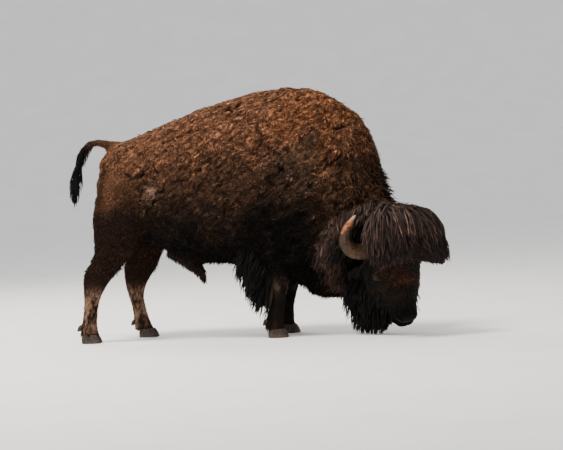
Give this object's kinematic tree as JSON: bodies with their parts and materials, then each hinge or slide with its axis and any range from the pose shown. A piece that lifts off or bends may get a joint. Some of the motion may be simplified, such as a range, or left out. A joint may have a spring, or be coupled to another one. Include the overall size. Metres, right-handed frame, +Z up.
{
  "type": "bison",
  "caption": "American bison bull as a still, life-size model, grazing with its head low and turned to its right, in a shaggy brown coat.",
  "frame": {"origin": "on the ground, below the middle of the whole animal's box", "axes": "+X forward, along the body towards the head; +Y to the animal's left; +Z up"},
  "size_m": [2.6918, 1.0296, 1.7395],
  "materials": {
    "wool": "thick matted brown wool, tan on the hump",
    "dark_hair": "long dark brown to black hair in locks",
    "leg_hair": "short dusty dark brown hair",
    "bare_skin": "bare grey-black skin, slightly moist",
    "horn": "worn tan horn with dark and grey patches",
    "hoof": "dull dark hoof horn",
    "eye": "wet, nearly black"
  },
  "bodies": {
    "root": {"trunk": "wool", "neck": "wool", "tail": "wool", "fore_right_upper_leg": "wool", "fore_left_upper_leg": "wool", "head": "dark_hair", "jaw": "dark_hair", "mop": "dark_hair", "beard": "dark_hair", "ear_left": "dark_hair", "ear_right": "dark_hair", "fore_right_chap": "dark_hair", "fore_left_chap": "dark_hair", "tail_tuft": "dark_hair", "sheath": "dark_hair", "scrotum": "leg_hair", "hind_right_upper_leg": "leg_hair", "hind_right_lower_leg": "leg_hair", "hind_left_upper_leg": "leg_hair", "hind_left_lower_leg": "leg_hair", "fore_right_lower_leg": "leg_hair", "fore_left_lower_leg": "leg_hair", "muzzle": "bare_skin", "eye_left": "eye", "eye_right": "eye", "horn_left": "horn", "horn_right": "horn", "hind_right_claw_left": "hoof", "hind_right_claw_right": "hoof", "hind_right_dewclaw_left": "hoof", "hind_right_dewclaw_right": "hoof", "hind_left_claw_left": "hoof", "hind_left_claw_right": "hoof", "hind_left_dewclaw_left": "hoof", "hind_left_dewclaw_right": "hoof", "fore_right_claw_left": "hoof", "fore_right_claw_right": "hoof", "fore_right_dewclaw_left": "hoof", "fore_right_dewclaw_right": "hoof", "fore_left_claw_left": "hoof", "fore_left_claw_right": "hoof", "fore_left_dewclaw_left": "hoof", "fore_left_dewclaw_right": "hoof"}
  },
  "joints": []
}
